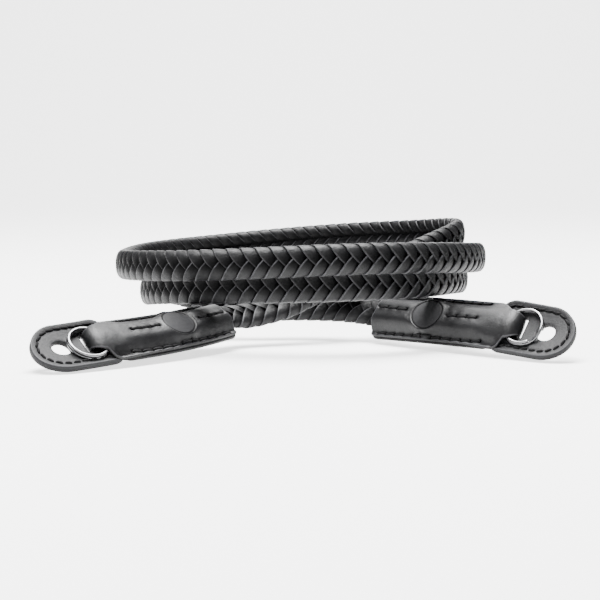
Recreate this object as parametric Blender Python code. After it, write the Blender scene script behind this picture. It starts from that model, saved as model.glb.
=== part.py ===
"""A coiled braided leather strap with a leather end tab and a split ring at each end.

Sizes are in millimetres and are scaled to metres when a mesh is made. X is across the
picture, -Y is towards the viewer and Z is up. The coil and both tabs rest on a table.
"""
import math

import bpy
import numpy as np
from mathutils import Vector
from mathutils.geometry import delaunay_2d_cdt

MM = 0.001
# Middle of the underside in the layout's own coordinates; it becomes the origin
ORIGIN = np.array([3.1, -31.6, -0.29])

# Braid section
BRAID_HALF = 5.5
BRAID_THICK = 2.75
BRAID_SIDES = 10
SECTION_POWER = 0.8
BRAID_STATIONS = 205

# Coil layout: a circle squared a little, about a centre in front of the origin
COIL_CENTRE_Y = -14.0
SQUARENESS = 2.3

# End tab, u from the mouth towards the flap's end, v across, n out of the front face
TAB_LENGTH = 81.0
SLEEVE_HALF = 9.1
SHOULDER_SWELL = 0.9
SWELL_START = 38.0
LEATHER = 1.15
UPPER_SHOULDER = (50.3, 58.8)
LOWER_SHOULDER = (55.2, 61.7)
BACK_SHOULDER = (48.5, 55.0)
TONGUE_HALF = 4.2
FOLD_HALF = 3.9
FOLD_CENTRE = 57.4
FOLD_TOP = 4.9
FOLD_BOTTOM = -3.4
CROWN_HALF = 7.6
MOUTH_ROUND = ((0.0, 1.0), (0.7, 0.3), (2.0, 0.0))

# Flap, two layers stitched together
FLAP_HALF = 10.1
FLAP_ROOT = 48.2
ROOT_CORNER = 2.5
FLAP_LAYERS = {"top": (-0.95, 0.0), "back": (-2.1, -1.15)}
HOLE_AT = 70.9
HOLE_RADIUS = 3.35
SLIT = (57.4, 62.7)
SLIT_HALF = 4.3
SLIT_CORNER = 0.8
FLAP_GRID = 3.4

# Split ring
RING_RADIUS = 6.8
RING_WIRE = 1.1
RING_PITCH = 1.2
RING_LIFT = 0.6
RING_CROSSING = math.radians(28)

# Where each tab lies: mouth position, then angles in degrees at mid length and their change along it
POSES = {
    "left": {
        "side": -1, "mouth": (-30.3, -61.5, 9.4), "yaw": 45.2, "yaw_change": 28.0, "slope": 1.9,
        "slope_change": 3.5, "tilt": 34.3, "tilt_change": -4.5, "cup": 1.2,
        "ring_slack": 4.9, "ring_beside": -0.8, "crossing": 150,
    },
    "right": {
        "side": 1, "mouth": (31.5, -42.8, 8.9), "yaw": 40.0, "yaw_change": 14.0, "slope": -0.1,
        "slope_change": -3.6, "tilt": 52.4, "tilt_change": 3.0, "cup": 1.2,
        "ring_slack": 3.8, "ring_beside": 0.2, "crossing": -30,
    },
}
POSE_SPAN = 75.0

# Moulded top leather of the tab: height of its outer face at the crown and at the edges
TOP_ROWS = (
    # u, crown, edge
    (0.0, 5.2, 0.2),
    (10.0, 5.0, 0.2),
    (24.0, 4.6, 0.2),
    (36.0, 4.1, 0.2),
    (43.5, 4.0, 0.3),
    (47.8, 4.1, 1.3),
    (53.5, 4.5, 1.5),
    (57.0, 4.9, 3.0),
)
TOP_STATIONS = (0.0, 0.7, 2.0, 9.0, 16.0, 23.0, 30.0, 36.0, 41.0, 43.5, 46.0, 47.8, 50.5, 53.5, 55.5, 57.0)
# Backing: height of its upper face, which dips to pass under the flap
BACK_ROWS = (
    # u, upper face
    (0.0, -1.25),
    (43.5, -1.25),
    (47.8, -2.25),
    (57.0, -2.25),
)
BACK_STATIONS = (57.0, 55.0, 53.0, 50.5, 47.8, 46.0, 43.5, 40.0, 28.0, 15.0, 2.0, 0.7, 0.0)
TAB_COLUMNS = 12
FOLD_STEPS = 7
FOLD_NARROWING = 2

# Braid inside a tab: height of its middle and its size there
INSIDE_ROWS = (
    # u, n, half width, half thickness
    (32.0, 1.1, 4.3, 1.3),
    (22.0, 1.2, 4.7, 1.55),
    (10.0, 1.3, 5.0, 1.8),
    (0.0, 1.4, 5.2, 1.95),
)
# Left tab to the coil, over the other end of the braid
LEAD_IN = (
    # x, y, z, lean inwards in degrees
    (-20.5, -53.6, 10.1, 56),
    (-12.0, -50.0, 11.4, 57),
    (-4.5, -47.1, 13.6, 57),
    (4.0, -44.0, 17.6, 56),
    (14.0, -39.7, 20.9, 52),
    (26.0, -33.8, 23.6, 43),
    (38.5, -27.0, 28.0, 26),
    (53.0, -16.0, 33.6, 9),
)
COIL = (
    # bearing from the front towards +X, radius, z of the middle
    (102, 64.3, 37.3),
    (130, 66.6, 36.3),
    (160, 68.0, 33.8),
    (180, 69.0, 31.9),
    (215, 69.2, 28.5),
    (245, 69.1, 27.2),
    (270, 69.1, 26.9),
    (300, 69.0, 28.6),
    (330, 69.0, 30.7),
    (360, 69.0, 32.7),
    (390, 69.1, 33.3),
    (420, 69.3, 31.5),
    (450, 69.3, 29.0),
    (495, 68.6, 23.4),
    (540, 68.0, 19.0),
    (585, 64.5, 16.4),
    (630, 59.6, 16.0),
    (660, 60.6, 19.2),
    (690, 62.2, 21.9),
    (720, 63.0, 23.1),
    (750, 62.9, 23.6),
    (765, 62.9, 23.5),
    (780, 62.9, 23.2),
    (810, 63.0, 20.6),
    (835, 64.6, 18.6),
    (855, 66.4, 14.6),
    (880, 68.0, 7.6),
    (900, 68.0, 5.45),
    (925, 66.0, 6.1),
    (950, 60.5, 11.0),
    (980, 53.6, 16.6),
)
# Coil to the right tab, under the other end of the braid
LEAD_OUT = (
    # x, y, z, lean inwards in degrees
    (-49.5, -23.5, 17.0, 6),
    (-41.0, -29.5, 15.6, 18),
    (-27.0, -33.0, 11.8, 32),
    (-12.0, -33.2, 11.1, 38),
    (2.0, -32.2, 11.0, 40),
    (13.0, -33.6, 10.9, 38),
    (22.0, -37.4, 10.6, 36),
)


def clear_scene():
    for old in list(bpy.data.objects):
        bpy.data.objects.remove(old, do_unlink=True)


def smooth(share):
    share = np.clip(share, 0.0, 1.0)
    return share * share * (3.0 - 2.0 * share)


def column(rows, index):
    return np.array([row[index] for row in rows], float)


def along(rows, index, at):
    return np.interp(at, column(rows, 0), column(rows, index))


def unit(vector):
    return vector / np.linalg.norm(vector, axis=-1, keepdims=True)


def cubic(knots, values, at):
    """Natural cubic curve through values at the knots, read at other places."""
    count = len(knots)
    step = np.diff(knots)
    slope = np.diff(values, axis=0) / step[:, None]
    matrix = np.eye(count)
    right = np.zeros((count, values.shape[1]))
    for i in range(1, count - 1):
        matrix[i, i - 1 : i + 2] = step[i - 1], 2 * (step[i - 1] + step[i]), step[i]
        right[i] = 6 * (slope[i] - slope[i - 1])
    bend = np.linalg.solve(matrix, right)
    place = np.clip(np.searchsorted(knots, at, side="right") - 1, 0, count - 2)
    h = step[place][:, None]
    a = (knots[place + 1] - at)[:, None] / h
    b = (at - knots[place])[:, None] / h
    curve = a * values[place] + b * values[place + 1]
    return curve + ((a**3 - a) * bend[place] + (b**3 - b) * bend[place + 1]) * h * h / 6


# Tab placing


def axis_angles(pose, u):
    share = 0.5 - np.asarray(u, float) / POSE_SPAN
    yaw = np.radians(pose["yaw"] + pose["yaw_change"] * share)
    slope = np.radians(pose["slope"] + pose["slope_change"] * share)
    tilt = np.radians(pose["tilt"] + pose["tilt_change"] * share)
    return yaw, slope, tilt


def axis_direction(pose, u):
    yaw, slope, _ = axis_angles(pose, u)
    level = np.cos(slope)
    return np.stack([pose["side"] * np.cos(yaw) * level, -np.sin(yaw) * level, -np.sin(slope)], -1)


def tab_frame(pose, u):
    """Axis direction, level direction and upright direction at u."""
    ahead = axis_direction(pose, u)
    flat = pose["side"] * unit(np.cross([0.0, 0.0, 1.0], ahead))
    return ahead, flat, pose["side"] * np.cross(ahead, flat)


def axis_point(pose, u):
    fine = np.linspace(-10.0, TAB_LENGTH + 5.0, 193)
    ahead = axis_direction(pose, fine)
    steps = (ahead[1:] + ahead[:-1]) / 2 * (fine[1] - fine[0])
    path = np.vstack([np.zeros(3), np.cumsum(steps, axis=0)])
    mouth = [np.interp(0.0, fine, path[:, i]) for i in range(3)]
    return np.stack([np.interp(u, fine, path[:, i]) for i in range(3)], -1) - mouth + pose["mouth"]


def lay(pose, u, v, n):
    """World place of a point of the tab, which is cupped across its width."""
    u, v, n = (np.asarray(value, float).ravel() for value in np.broadcast_arrays(u, v, n))
    _, _, tilt = axis_angles(pose, u)
    _, flat, upright = tab_frame(pose, u)
    cup = math.radians(pose["cup"])
    turned = tilt + cup * v
    level = (np.sin(turned) - np.sin(tilt)) / cup - n * np.sin(turned)
    rise = (np.cos(tilt) - np.cos(turned)) / cup + n * np.cos(turned)
    return axis_point(pose, u) + level[:, None] * flat + rise[:, None] * upright


# Making meshes


def add_mesh(name, points, faces, material):
    mesh = bpy.data.meshes.new(name)
    mesh.from_pydata(((np.asarray(points) - ORIGIN) * MM).tolist(), [], faces)
    mesh.validate()
    body = bpy.data.objects.new(name, mesh)
    mesh.materials.append(material)
    strap.objects.link(body)
    turn_outwards(mesh)
    mesh.shade_smooth()
    mesh.set_sharp_from_angle(angle=math.radians(35))
    return body


def turn_outwards(mesh):
    """Turns every face round when the closed mesh has a negative volume."""
    mesh.calc_loop_triangles()
    points = np.array([vertex.co for vertex in mesh.vertices])
    corners = points[np.array([triangle.vertices for triangle in mesh.loop_triangles])]
    if np.linalg.det(corners).sum() < 0:
        mesh.flip_normals()


def grid_faces(rows, columns, start=0, closed=False):
    """Quads of a grid of points; a closed grid joins its last column to its first."""
    faces = []
    for i in range(rows - 1):
        for j in range(columns if closed else columns - 1):
            near, far = start + i * columns, start + (i + 1) * columns
            k = (j + 1) % columns
            faces.append((near + j, near + k, far + k, far + j))
    return faces


def leather(name, colour, roughness, metallic=0.0):
    material = bpy.data.materials.new(name)
    material.use_nodes = True
    shader = material.node_tree.nodes["Principled BSDF"]
    shader.inputs["Base Color"].default_value = (*colour, 1.0)
    shader.inputs["Roughness"].default_value = roughness
    shader.inputs["Metallic"].default_value = metallic
    return material


# Braid


def inside_rows(pose, outwards):
    """Knots of the braid inside a tab, with its lean and size: x, y, z, lean, half width, half thickness."""
    rows = []
    for u, n, half, thick in INSIDE_ROWS:
        _, _, tilt = axis_angles(pose, u)
        place = lay(pose, u, 0.0, n)[0]
        rows.append((*place, 90.0 - math.degrees(tilt), half, thick))
    return rows if outwards else rows[::-1]


def free_rows(rows):
    return [(*row, BRAID_HALF, BRAID_THICK) for row in rows]


def coil_rows():
    rows = []
    for bearing, radius, height in COIL:
        s, c = math.sin(math.radians(bearing)), math.cos(math.radians(bearing))
        reach = radius * (abs(s) ** SQUARENESS + abs(c) ** SQUARENESS) ** (-1 / SQUARENESS)
        rows.append((reach * s, COIL_CENTRE_Y - reach * c, height, 0.0))
    return rows


def braid_knots():
    left = inside_rows(POSES["left"], True)
    right = inside_rows(POSES["right"], False)
    return np.array([*left, *free_rows(LEAD_IN), *free_rows(coil_rows()), *free_rows(LEAD_OUT), *right], float)


def braid_route(stations):
    """Evenly spaced stations: x, y, z, lean in degrees, half width, half thickness."""
    knots = braid_knots()
    lengths = np.r_[0.0, np.cumsum(np.linalg.norm(np.diff(knots[:, :3], axis=0), axis=1))]
    fine = np.linspace(0.0, lengths[-1], 3000)
    curve = cubic(lengths, knots[:, :3], fine)
    run = np.r_[0.0, np.cumsum(np.linalg.norm(np.diff(curve, axis=0), axis=1))]
    even = np.interp(np.linspace(0.0, run[-1], stations), run, fine)
    shape = np.stack([np.interp(even, lengths, knots[:, i]) for i in range(3, 6)], -1)
    return np.hstack([cubic(lengths, knots[:, :3], even), shape])


def make_braid(material):
    route = braid_route(BRAID_STATIONS)
    centre = route[:, :3]
    lean = np.radians(route[:, 3])[:, None]
    ahead = unit(np.gradient(centre, axis=0))
    inwards = unit(np.cross([0.0, 0.0, 1.0], ahead))
    upright = np.cross(ahead, inwards)
    tall = np.cos(lean) * upright + np.sin(lean) * inwards
    thick = np.cross(ahead, tall)
    angle = np.arange(BRAID_SIDES) * 2 * math.pi / BRAID_SIDES
    wide = np.sign(np.cos(angle)) * np.abs(np.cos(angle)) ** SECTION_POWER
    deep = np.sign(np.sin(angle)) * np.abs(np.sin(angle)) ** SECTION_POWER
    deep = deep / deep.max()
    points = (
        centre[:, None, :]
        + tall[:, None, :] * (route[:, 4:5] * wide)[:, :, None]
        + thick[:, None, :] * (route[:, 5:6] * deep)[:, :, None]
    )
    faces = grid_faces(BRAID_STATIONS, BRAID_SIDES, closed=True)
    last = (BRAID_STATIONS - 1) * BRAID_SIDES
    faces.append(tuple(range(BRAID_SIDES))[::-1])
    faces.append(tuple(range(last, last + BRAID_SIDES)))
    return add_mesh("braid", points.reshape(-1, 3), faces, material)


# Folded tab


def tab_half(u, shoulder, swell=0.0):
    narrow = smooth((u - shoulder[0]) / (shoulder[1] - shoulder[0]))
    corner = np.interp(u, column(MOUTH_ROUND, 0), column(MOUTH_ROUND, 1))
    wide = SLEEVE_HALF + swell * smooth((u - SWELL_START) / (shoulder[0] - SWELL_START))
    return float(wide + (TONGUE_HALF - wide) * narrow - corner)


def bump(across):
    """Height of the moulded crown, 1 in the middle and 0 at its feet."""
    return np.clip(1.0 - across**4, 0.0, 1.0) ** 1.5


def tab_stations():
    """Stations round the folded strip: outer and inner place at the middle, drop to the edges, lower and upper half."""
    rows = []
    for u in TOP_STATIONS:
        crown, edge = along(TOP_ROWS, 1, u), along(TOP_ROWS, 2, u)
        halves = tab_half(u, LOWER_SHOULDER, SHOULDER_SWELL), tab_half(u, UPPER_SHOULDER)
        rows.append(((u, crown), (u, crown - LEATHER), edge - crown, halves))
    outer = (FOLD_TOP - FOLD_BOTTOM) / 2
    middle = (FOLD_TOP + FOLD_BOTTOM) / 2
    start = rows[-1][3]
    for step in range(1, FOLD_STEPS):
        turn = math.pi * step / FOLD_STEPS
        s, c = math.sin(turn), math.cos(turn)
        narrowed = float(smooth(step / FOLD_NARROWING))
        halves = tuple(half + (FOLD_HALF - half) * narrowed for half in start)
        inner = outer - LEATHER
        rows.append(
            ((FOLD_CENTRE + outer * s, middle + outer * c), (FOLD_CENTRE + inner * s, middle + inner * c), 0.0, halves)
        )
    for u in BACK_STATIONS:
        face = float(along(BACK_ROWS, 1, u))
        half = tab_half(u, BACK_SHOULDER)
        rows.append(((u, face - LEATHER), (u, face), 0.0, (half, half)))
    return rows


def make_tab(name, pose, material):
    stations = tab_stations()
    share = np.linspace(-1.0, 1.0, TAB_COLUMNS + 1)
    layers = []
    for which in (0, 1):
        for row in stations:
            (u, n), drop, (lower, upper) = row[which], row[2], row[3]
            v = share * np.where(share < 0, lower, upper)
            height = n + drop * (1.0 - bump(v / CROWN_HALF)) if drop else np.full_like(v, n)
            layers.append(lay(pose, u, v, height))
    points = np.vstack(layers)
    rows, columns = len(stations), TAB_COLUMNS + 1
    below = rows * columns
    outer = grid_faces(rows, columns)
    inner = [tuple(below + k for k in face[::-1]) for face in outer]
    sides = []
    for edge in (0, columns - 1):
        for i in range(rows - 1):
            a, b = i * columns + edge, (i + 1) * columns + edge
            face = (a, b, below + b, below + a)
            sides.append(face if edge == 0 else face[::-1])
    for end in (0, rows - 1):
        for j in range(columns - 1):
            a, b = end * columns + j, end * columns + j + 1
            face = (b, a, below + a, below + b)
            sides.append(face if end == 0 else face[::-1])
    return add_mesh(name, points, outer + inner + sides, material)


# Flap


def arc(centre, radius, start, end, steps):
    turn = np.radians(np.linspace(start, end, steps + 1))
    return np.stack([centre[0] + radius * np.cos(turn), centre[1] + radius * np.sin(turn)], -1)


def run_between(first, last, pieces):
    share = np.linspace(0.0, 1.0, pieces + 1)[1:-1, None]
    return first + (last - first) * share


def flap_outline():
    tip = arc((HOLE_AT, 0.0), FLAP_HALF, -90, 90, 22)
    inset = FLAP_HALF - ROOT_CORNER
    upper = arc((FLAP_ROOT + ROOT_CORNER, inset), ROOT_CORNER, 90, 180, 5)
    lower = arc((FLAP_ROOT + ROOT_CORNER, -inset), ROOT_CORNER, 180, 270, 5)
    pieces = [tip, run_between(tip[-1], upper[0], 5), upper, run_between(upper[-1], lower[0], 3), lower]
    return np.vstack([*pieces, run_between(lower[-1], tip[0], 5)])


def hole_outline():
    return arc((HOLE_AT, 0.0), HOLE_RADIUS, 0, 360, 20)[:-1]


def slit_outline():
    near, far = SLIT
    cut = SLIT_CORNER
    wide = SLIT_HALF
    corners = (
        (near + cut, -wide), (far - cut, -wide), (far, cut - wide), (far, 0.0),
        (far, wide - cut), (far - cut, wide), (near + cut, wide), (near, wide - cut), (near, 0.0), (near, cut - wide),
    )
    return np.array(corners)


def inside(points, outline):
    """Whether each point lies inside a closed outline."""
    within = np.zeros(len(points), bool)
    for (x0, y0), (x1, y1) in zip(outline, np.roll(outline, -1, axis=0)):
        if y0 == y1:
            continue
        crosses = (y0 > points[:, 1]) != (y1 > points[:, 1])
        reach = x0 + (points[:, 1] - y0) * (x1 - x0) / (y1 - y0)
        within ^= crosses & (points[:, 0] < reach)
    return within


def grid_points(outline, openings):
    """Points on a grid inside the outline, clear of every edge."""
    us = np.arange(FLAP_ROOT + FLAP_GRID / 2, TAB_LENGTH, FLAP_GRID)
    vs = np.arange(-3, 4) * FLAP_GRID * 0.85
    spots = np.array([(u, v) for u in us for v in vs])
    keep = inside(spots, outline)
    for opening in openings:
        keep &= ~inside(spots, opening)
    for edge in (outline, *openings):
        clearance = np.linalg.norm(spots[:, None] - edge[None], axis=2).min(axis=1)
        keep &= clearance > FLAP_GRID * 0.4
    return spots[keep]


def flap_pattern():
    """Flat points of the flap, its triangles and its boundary loops."""
    loops = [flap_outline(), hole_outline(), slit_outline()]
    points = np.vstack([*loops, grid_points(loops[0], loops[1:])])
    edges, rings, start = [], [], 0
    for loop in loops:
        ring = list(range(start, start + len(loop)))
        edges += list(zip(ring, ring[1:] + ring[:1]))
        rings.append(ring)
        start += len(loop)
    found = delaunay_2d_cdt([Vector(point) for point in points], edges, [], 1, 1e-5)
    flat = np.array([vertex[:] for vertex in found[0]])
    triangles = np.array([face[:] for face in found[2]])
    middles = flat[triangles].mean(axis=1)
    keep = inside(middles, loops[0]) & ~inside(middles, loops[1]) & ~inside(middles, loops[2])
    return flat, triangles[keep].tolist(), rings


def make_flap(name, pose, layer, material):
    flat, triangles, rings = flap_pattern()
    low, high = FLAP_LAYERS[layer]
    points = np.vstack([lay(pose, flat[:, 0], flat[:, 1], n) for n in (high, low)])
    count = len(flat)
    faces = [tuple(face) for face in triangles]
    faces += [tuple(count + k for k in face[::-1]) for face in triangles]
    for index, ring in enumerate(rings):
        for a, b in zip(ring, ring[1:] + ring[:1]):
            face = (b, a, count + a, count + b)
            faces.append(face if index == 0 else (a, b, count + b, count + a))
    return add_mesh(name, points, faces, material)


# Split ring


def make_ring(name, pose, material):
    at = FOLD_CENTRE + (FOLD_TOP - FOLD_BOTTOM) / 2 - LEATHER - pose["ring_slack"] - RING_WIRE / 2 + RING_RADIUS
    ahead, flat, upright = tab_frame(pose, at)
    _, _, tilt = axis_angles(pose, at)
    across = math.cos(tilt) * flat + math.sin(tilt) * upright
    out = -math.sin(tilt) * flat + math.cos(tilt) * upright
    centre = lay(pose, at, 0.0, RING_LIFT + RING_WIRE / 2)[0] + pose["ring_beside"] * across
    turns = np.linspace(RING_CROSSING, 4 * math.pi - RING_CROSSING, 59)
    level = RING_PITCH * smooth((turns - 2 * math.pi + RING_CROSSING) / (2 * RING_CROSSING))
    turns = turns + math.radians(pose["crossing"])
    spots = (
        centre
        + RING_RADIUS * np.cos(turns)[:, None] * ahead
        + RING_RADIUS * np.sin(turns)[:, None] * across
        + level[:, None] * out
    )
    curve = bpy.data.curves.new(name, "CURVE")
    curve.dimensions = "3D"
    curve.bevel_depth = RING_WIRE / 2 * MM
    curve.bevel_resolution = 2
    curve.use_fill_caps = True
    wire = curve.splines.new("POLY")
    wire.points.add(len(spots) - 1)
    for point, spot in zip(wire.points, spots):
        point.co = (*((spot - ORIGIN) * MM), 1.0)
    curve.materials.append(material)
    body = bpy.data.objects.new(name, curve)
    strap.objects.link(body)
    return body


clear_scene()
strap = bpy.data.collections.new("braided_camera_strap")
bpy.context.scene.collection.children.link(strap)

braided = leather("braided_leather", (0.02, 0.02, 0.022), 0.5)
smooth_leather = leather("smooth_leather", (0.025, 0.025, 0.027), 0.45)
flap_leather = leather("flap_leather", (0.035, 0.035, 0.038), 0.55)
steel = leather("steel", (0.6, 0.6, 0.62), 0.25, 1.0)

make_braid(braided)
for side_name, side_pose in POSES.items():
    make_tab(f"{side_name}_tab", side_pose, smooth_leather)
    for flap_layer in FLAP_LAYERS:
        make_flap(f"{side_name}_flap_{flap_layer}", side_pose, flap_layer, flap_leather)
    make_ring(f"{side_name}_ring", side_pose, steel)
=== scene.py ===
"""The coiled braided camera strap as seen: woven laces, stitched tabs and flaps, split rings, floor, lights.

Sizes are in millimetres unless a comment says otherwise. They are scaled to metres when a mesh is made.
"""
import math

import bpy
import numpy as np
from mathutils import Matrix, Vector
from mathutils.geometry import delaunay_2d_cdt


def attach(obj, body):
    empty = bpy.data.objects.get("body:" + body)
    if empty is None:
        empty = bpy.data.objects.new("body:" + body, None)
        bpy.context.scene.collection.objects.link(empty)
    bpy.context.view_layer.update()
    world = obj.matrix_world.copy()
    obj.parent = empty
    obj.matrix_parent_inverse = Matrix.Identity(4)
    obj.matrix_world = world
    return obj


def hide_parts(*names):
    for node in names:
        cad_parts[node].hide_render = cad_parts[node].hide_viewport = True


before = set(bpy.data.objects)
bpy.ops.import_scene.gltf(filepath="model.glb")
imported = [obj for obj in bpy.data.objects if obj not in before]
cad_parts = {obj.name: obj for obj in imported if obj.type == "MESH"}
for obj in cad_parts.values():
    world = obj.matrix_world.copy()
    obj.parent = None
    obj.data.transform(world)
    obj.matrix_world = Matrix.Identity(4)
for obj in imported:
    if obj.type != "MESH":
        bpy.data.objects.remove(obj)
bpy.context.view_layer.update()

MM = 0.001
# Middle of the underside in the layout's own coordinates; it becomes the origin
ORIGIN = np.array([3.1, -31.6, -0.29])

# Braid, as in the solids
BRAID_HALF = 5.5
BRAID_THICK = 2.75
SECTION_POWER = 0.8

# Tab, flap and ring, as in the solids: u from the mouth to the flap's end, v across, n out of the front
TAB_LENGTH = 81.0
SLEEVE_HALF = 9.1
SHOULDER_SWELL = 0.9
SWELL_START = 38.0
LEATHER = 1.15
BACK_SHOULDER = (48.5, 55.0)
TONGUE_HALF = 4.2
FOLD_HALF = 3.9
FOLD_CENTRE = 57.4
FOLD_TOP = 4.9
FOLD_BOTTOM = -3.4
CROWN_HALF = 7.6
MOUTH_ROUND = (
    # u, how far the corner is cut back
    (0.0, 1.0),
    (0.7, 0.3),
    (2.0, 0.0),
)
FLAP_HALF = 10.1
HOLE_AT = 70.9
HOLE_RADIUS = 3.35
SLIT = (57.4, 62.7)
SLIT_HALF = 4.3
SLIT_CORNER = 0.8
RING_RADIUS = 6.8
RING_WIRE = 1.1
RING_CROSSING = math.radians(28)

# Where each tab lies: mouth position, then angles in degrees at mid length and their change along it.
# The rings lie 0.5 mm more to the side than in the solids.
POSES = {
    "left": {
        "side": -1, "mouth": (-30.3, -61.5, 9.4), "yaw": 45.2, "yaw_change": 28.0, "slope": 1.9,
        "slope_change": 3.5, "tilt": 34.3, "tilt_change": -4.5, "cup": 1.2,
        "ring_slack": 4.9, "ring_beside": -1.3, "crossing": 150,
    },
    "right": {
        "side": 1, "mouth": (31.5, -42.8, 8.9), "yaw": 40.0, "yaw_change": 14.0, "slope": -0.1,
        "slope_change": -3.6, "tilt": 52.4, "tilt_change": 3.0, "cup": 1.2,
        "ring_slack": 3.8, "ring_beside": -0.3, "crossing": -30,
    },
}
POSE_SPAN = 75.0
AXIS_BEFORE = 10.0
AXIS_BEYOND = 5.0
AXIS_STATIONS = 193

# Fitted a little closer to the photograph than in the solids
UPPER_SHOULDER = (50.8, 61.0)
LOWER_SHOULDER = (54.2, 60.0)
FOLD_NOSE = 5.0
FLAP_ROOT = 50.2
ROOT_CORNER = 6.0
FLAP_WIDER = 0.3
FLAP_TURN = math.radians(-4.5)
FLAP_TURN_AT = 60.0
FLAP_FACES = {
    # lower and upper face of each layer
    "top": (-1.12, 0.0),
    "back": (-2.35, -1.2),
}
RING_LIFT = 0.25
# Moulded face of the tab: its height at the crown and at the edges
TOP_ROWS = (
    # u, crown, edge
    (0.0, 5.2, 0.2),
    (10.0, 5.0, 0.2),
    (24.0, 4.6, 0.2),
    (36.0, 4.1, 0.2),
    (45.5, 4.3, 0.3),
    (49.8, 4.5, 1.3),
    (53.5, 4.65, 1.3),
    (57.0, 4.65, 1.4),
)
# Backing: height of its upper face, which dips to pass under the flap
BACK_ROWS = (
    # u, upper face
    (0.0, -1.25),
    (46.0, -1.25),
    (50.0, -2.25),
    (57.0, -2.25),
)

# Route of the braid, as in the solids. The coil is a circle squared a little about its own centre.
COIL_CENTRE_Y = -14.0
SQUARENESS = 2.3
INSIDE_ROWS = (
    # u, n, half width, half thickness
    (32.0, 1.1, 4.3, 1.3),
    (22.0, 1.2, 4.7, 1.55),
    (10.0, 1.3, 5.0, 1.8),
    (0.0, 1.4, 5.2, 1.95),
)
LEAD_IN = (
    # x, y, z, lean inwards in degrees
    (-20.5, -53.6, 10.1, 56),
    (-12.0, -50.0, 11.4, 57),
    (-4.5, -47.1, 13.6, 57),
    (4.0, -44.0, 17.6, 56),
    (14.0, -39.7, 20.9, 52),
    (26.0, -33.8, 23.6, 43),
    (38.5, -27.0, 28.0, 26),
    (53.0, -16.0, 33.6, 9),
)
COIL = (
    # bearing from the front towards +X, radius, z of the middle
    (102, 64.3, 37.3),
    (130, 66.6, 36.3),
    (160, 68.0, 33.8),
    (180, 69.0, 31.9),
    (215, 69.2, 28.5),
    (245, 69.1, 27.2),
    (270, 69.1, 26.9),
    (300, 69.0, 28.6),
    (330, 69.0, 30.7),
    (360, 69.0, 32.7),
    (390, 69.1, 33.3),
    (420, 69.3, 31.5),
    (450, 69.3, 29.0),
    (495, 68.6, 23.4),
    (540, 68.0, 19.0),
    (585, 64.5, 16.4),
    (630, 59.6, 16.0),
    (660, 60.6, 19.2),
    (690, 62.2, 21.9),
    (720, 63.0, 23.1),
    (750, 62.9, 23.6),
    (765, 62.9, 23.5),
    (780, 62.9, 23.2),
    (810, 63.0, 20.6),
    (835, 64.6, 18.6),
    (855, 66.4, 14.6),
    (880, 68.0, 7.6),
    (900, 68.0, 5.45),
    (925, 66.0, 6.1),
    (950, 60.5, 11.0),
    (980, 53.6, 16.6),
)
LEAD_OUT = (
    # x, y, z, lean inwards in degrees
    (-49.5, -23.5, 17.0, 6),
    (-41.0, -29.5, 15.6, 18),
    (-27.0, -33.0, 11.8, 32),
    (-12.0, -33.2, 11.1, 38),
    (2.0, -32.2, 11.0, 40),
    (13.0, -33.6, 10.9, 38),
    (22.0, -37.4, 10.6, 36),
)
ROUTE_FINE = 3000
ROUTE_STATIONS = 2668
# The cord comes out at this u, v, n of the left tab
CORD_EXIT = (8.0, 0.0, 1.4)
OUTLINE_FINE = 721
OUTLINE_STATIONS = 361

# Laces of the braid. Places along a lace count from its middle, in eighths of the braid's girth.
LACES = 8
LACE_PITCH = 5.07
LACE_HALF = 2.25
LACE_TILT = 0.36
LACE_DIVE = 1.5
DIVE_START = 1.5
DIVE_SKEW = 0.38
EDGE_RELIEF = 0.35
RELIEF_SPAN = 1.5
LACE_BEND = 0.28
BEND_SPAN = 2.0
BEND_MOST = 1.1
FINE_REACH = 1.5
FINE_STATIONS = 11
END_STATIONS = (1.9, 2.35, 2.8)
HIDDEN_END = 14.0
LACE_PROFILE = (
    # across as a share of the half width, height, painted highlight on the rim
    (-1.0, -0.75, 0.0),
    (-1.0, -0.20, 0.8),
    (-0.9, 0.0, 1.0),
    (-0.72, 0.08, 0.0),
    (-0.35, 0.17, 0.0),
    (0.15, 0.20, 0.0),
    (0.6, 0.12, 0.0),
    (0.88, -0.06, 0.0),
    (1.0, -0.30, 0.0),
    (1.0, -0.75, 0.0),
)
CORE_INSET = 1.45
CORE_STATIONS = 620
CORE_SIDES = 16

# How dark the painted shade on the tucked parts of the laces is, how bright the painted highlight on their rims
# (partly burnished wear), and the painted shade beside the tabs
TUCK_START = 0.7
TUCK_SPAN = 1.2
EDGE_TUCK = 0.7
EDGE_TUCK_RISE = 1.1
RIM_HIGHLIGHT_REACH = 2.2
UPPER_RIM_HIGHLIGHT = 0.4
MOUTH_SHADE = 0.85
MOUTH_NEAR = 40.0
MOUTH_SHADE_SPAN = 6.0

# Tab's lines of points, along the strip and across it as shares of its half width
MOUTH_STATIONS = (0.0, 0.15, 0.35)
FACE_START = 0.6
FACE_STEP = 0.24
BACK_STEP = 0.9
FOLD_STEPS = 16
FOLD_NARROWING = 2.0
EDGE_SHARES = (0.93, 0.955, 0.975, 0.988, 0.996, 1.0)
MIDDLE_SHARE = 0.905
MIDDLE_COLUMNS = 84

# Tab's form: crown, rounded edges with a line of painted highlight (partly burnished wear), mouth, shoulders,
# and wings that rise beside the flap
CROWN_FLATNESS = 4
CROWN_FALL = 1.5
SEAM_CLOSED = 0.24
EDGE_ROUND = 0.32
RIM_LINE = (0.3, 0.26)
MOUTH_REACH = 1.6
MOUTH_FADE = 14.0
SHOULDER_BLEND = (44.0, 53.0)
WING_EDGE = 6.0
WING_SPAN = 2.5
WING_LIFT = (52.5, 56.0)

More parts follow.
